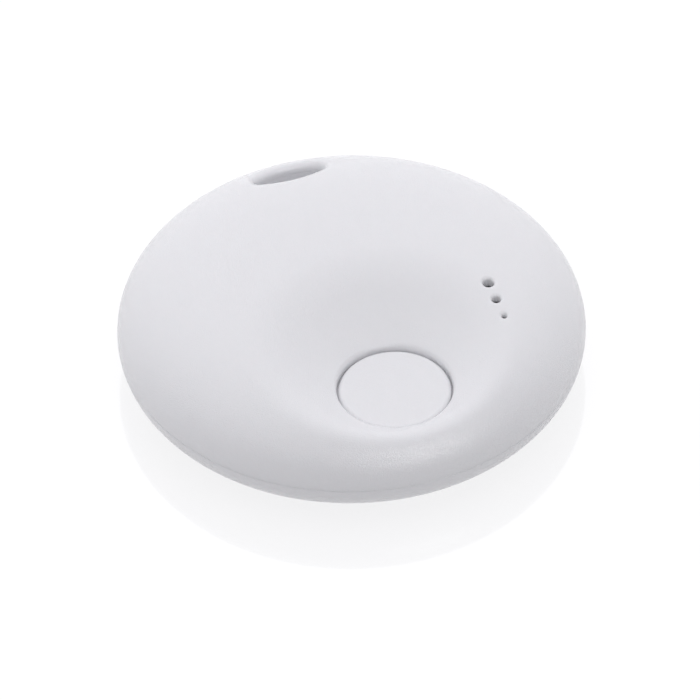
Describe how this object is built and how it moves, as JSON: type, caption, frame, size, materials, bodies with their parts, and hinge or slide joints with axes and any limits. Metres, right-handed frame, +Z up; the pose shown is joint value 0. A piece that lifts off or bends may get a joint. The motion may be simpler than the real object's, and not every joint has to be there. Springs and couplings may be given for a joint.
{
  "type": "bluetooth tracker tag",
  "caption": "Round pebble-shaped tracker tag with a sunk push button, a lanyard slot, sound holes and a twist-off battery door.",
  "frame": {"origin": "centre of the flat underside", "axes": "+Z up out of the crown, +Y from the push button to the lanyard slot"},
  "size_m": [0.04, 0.04, 0.0098],
  "materials": {
    "shell_plastic": "fine spark-eroded texture",
    "button_plastic": "fine spark-eroded texture",
    "door_plastic": "fine spark-eroded texture",
    "silicone": "soft matte",
    "seal_rubber": "matte",
    "spring_steel": "bright rolled sheet",
    "cell_steel": "nickel-plated, fine brushed",
    "cell_gasket_plastic": "satin",
    "board_laminate": "satin solder mask",
    "screw_steel": "zinc-plated",
    "chip_plastic": "matte moulding",
    "part_ceramic": "matte sintered",
    "crystal_metal": "satin lid",
    "coil_copper": "enamelled copper wire",
    "gasket_foam": "closed-cell foam",
    "mesh_cloth": "fine woven mesh"
  },
  "bodies": {
    "case": {"top_shell": "shell_plastic", "bottom_shell": "shell_plastic", "snap_dome": "spring_steel", "cell_can": "cell_steel", "cell_gasket": "cell_gasket_plastic", "cell_cap": "cell_steel", "negative_contact": "spring_steel", "positive_contact": "spring_steel", "circuit_board": "board_laminate", "board_screws": "screw_steel", "radio_chip": "chip_plastic", "motion_sensor": "chip_plastic", "chip_antenna": "part_ceramic", "power_inductor": "chip_plastic", "crystals": "crystal_metal", "capacitors": "part_ceramic", "buzzer_case": "chip_plastic", "buzzer_diaphragm": "spring_steel", "buzzer_core": "spring_steel", "buzzer_coil": "coil_copper", "buzzer_gasket": "gasket_foam", "acoustic_mesh": "mesh_cloth"},
    "button": {"button_cap": "button_plastic", "button_pad": "silicone"},
    "door": {"battery_door": "door_plastic", "door_seal": "seal_rubber"}
  },
  "joints": [
    {"name": "button_press", "type": "slide", "parent": "case", "child": "button", "axis": [0, 0, -1], "range_m": [0, 0.00025], "stiffness_N_per_m": 900, "deforming": ["snap_dome"]},
    {"name": "door_twist", "type": "hinge", "parent": "case", "child": "door", "pos_m": [0, 0, 0], "axis": [0, 0, -1], "range_deg": [0, 30]}
  ]
}
